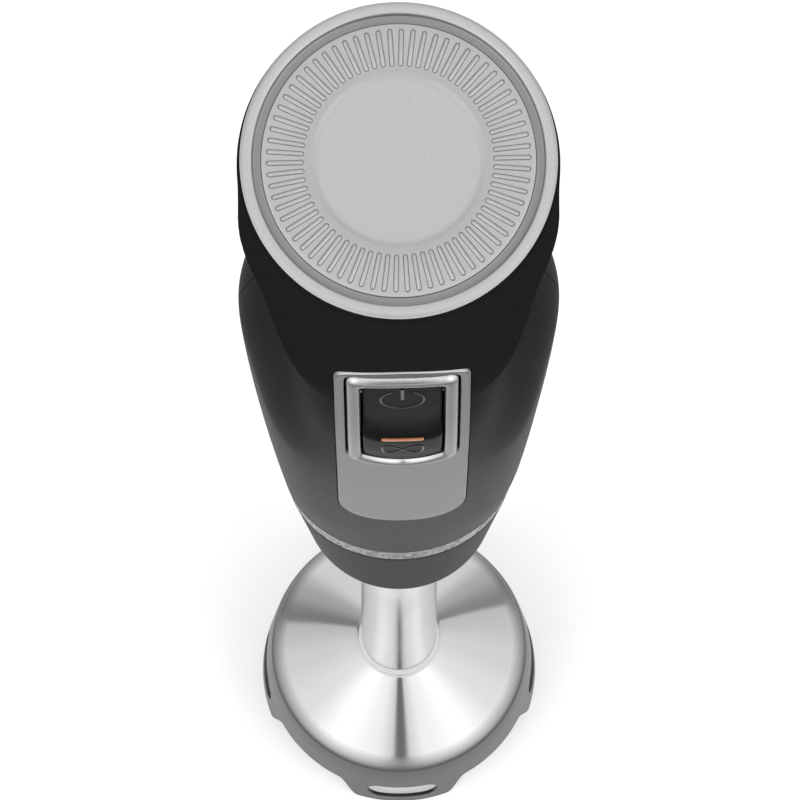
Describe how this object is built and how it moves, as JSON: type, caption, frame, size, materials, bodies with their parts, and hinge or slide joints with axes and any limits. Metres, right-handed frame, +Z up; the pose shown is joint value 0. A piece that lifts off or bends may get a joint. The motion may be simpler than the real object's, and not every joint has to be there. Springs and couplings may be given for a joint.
{
  "type": "hand blender",
  "caption": "Upright hand blender: slanted speed dial, rocker button in a steel trim plate, clear light band, twist-off leg with a spinning blade in a footed bell guard.",
  "frame": {"origin": "middle of the foot circle of the blade guard, on the surface it stands on", "axes": "+Z up along the drive axis, -Y the front with the rocker button, +X to the right as the front is faced"},
  "size_m": [0.0708, 0.0708, 0.4069],
  "materials": {
    "soft_touch_black": "fine matte",
    "gloss_black": "polished",
    "dial_silver": "satin silver",
    "plate_steel": "bead-blasted satin",
    "frame_chrome": "polished",
    "guard_steel": "spun and polished",
    "blade_steel": "ground",
    "shaft_steel": "ground",
    "screw_steel": "plated",
    "spring_steel": "drawn",
    "bearing_steel": "polished",
    "clear_acrylic": "faceted",
    "orange_lens": "translucent",
    "inner_plastic": "moulded",
    "white_plastic": "moulded",
    "board_green": "solder mask",
    "switch_body": "moulded",
    "pot_body": "pressed",
    "magnet": "sintered",
    "winding_copper": "varnished wire",
    "commutator_copper": "turned",
    "carbon": "pressed carbon",
    "bushing_bronze": "sintered",
    "rubber_black": "moulded"
  },
  "bodies": {
    "motor_unit": {"front_shell": "soft_touch_black", "rear_shell": "soft_touch_black", "dial_deck": "inner_plastic", "potentiometer": "pot_body", "potentiometer_nut": "screw_steel", "trim_plate": "plate_steel", "button_bezel": "frame_chrome", "rocker_pin": "shaft_steel", "rocker_spring": "spring_steel", "control_board": "board_green", "microswitches": "switch_body", "board_frame": "inner_plastic", "board_screws": "screw_steel", "cord_gland": "rubber_black", "cord_clamp": "inner_plastic", "light_ring": "clear_acrylic", "led_board": "board_green", "drive_bracket": "inner_plastic", "bracket_screws": "screw_steel", "motor_can": "shaft_steel", "field_magnets": "magnet", "brush_cap": "inner_plastic", "carbon_brushes": "carbon", "brush_springs": "spring_steel", "lower_bearing": "bearing_steel", "upper_bearing": "bearing_steel", "motor_damper": "rubber_black", "collar_seal": "rubber_black"},
    "speed_dial": {"dial_cap": "dial_silver", "dial_knob": "gloss_black", "dial_spindle": "shaft_steel"},
    "rocker": {"rocker_button": "gloss_black", "indicator_strip": "orange_lens"},
    "rotor": {"motor_shaft": "shaft_steel", "armature": "winding_copper", "commutator": "commutator_copper", "cooling_fan": "white_plastic", "drive_dog": "white_plastic"},
    "leg": {"leg_collar": "soft_touch_black", "bayonet_ring": "inner_plastic", "leg_tube": "guard_steel", "tube_ring": "guard_steel", "blade_guard": "guard_steel", "upper_bushing": "bushing_bronze", "lower_bushing": "bushing_bronze", "shaft_seal": "rubber_black"},
    "blade_shaft": {"drive_shaft": "shaft_steel", "coupling_socket": "white_plastic", "blade": "blade_steel", "blade_spacer": "white_plastic", "blade_nut": "blade_steel"}
  },
  "joints": [
    {"name": "dial_turn", "type": "hinge", "parent": "motor_unit", "child": "speed_dial", "pos_m": [0, 0, 0.40067], "axis": [0, -0.2079, 0.9781], "range_deg": [0, 270]},
    {"name": "rocker_tilt", "type": "hinge", "parent": "motor_unit", "child": "rocker", "pos_m": [0, -0.0236, 0.329], "axis": [1, 0, 0], "range_deg": [-3, 3], "stiffness_Nm_per_rad": 0.6},
    {"name": "rotor_spin", "type": "hinge", "parent": "motor_unit", "child": "rotor", "pos_m": [0, 0, 0.194], "axis": [0, 0, 1], "continuous": true},
    {"name": "blade_spin", "type": "hinge", "parent": "motor_unit", "child": "blade_shaft", "pos_m": [0, 0, 0.1], "axis": [0, 0, 1], "continuous": true},
    {"name": "leg_twist", "type": "hinge", "parent": "motor_unit", "child": "leg", "pos_m": [0, 0, 0.1867], "axis": [0, 0, 1], "range_deg": [0, 30]}
  ],
  "couplings": [
    {"joint": "blade_spin", "follows": "rotor_spin", "ratio": 1}
  ]
}
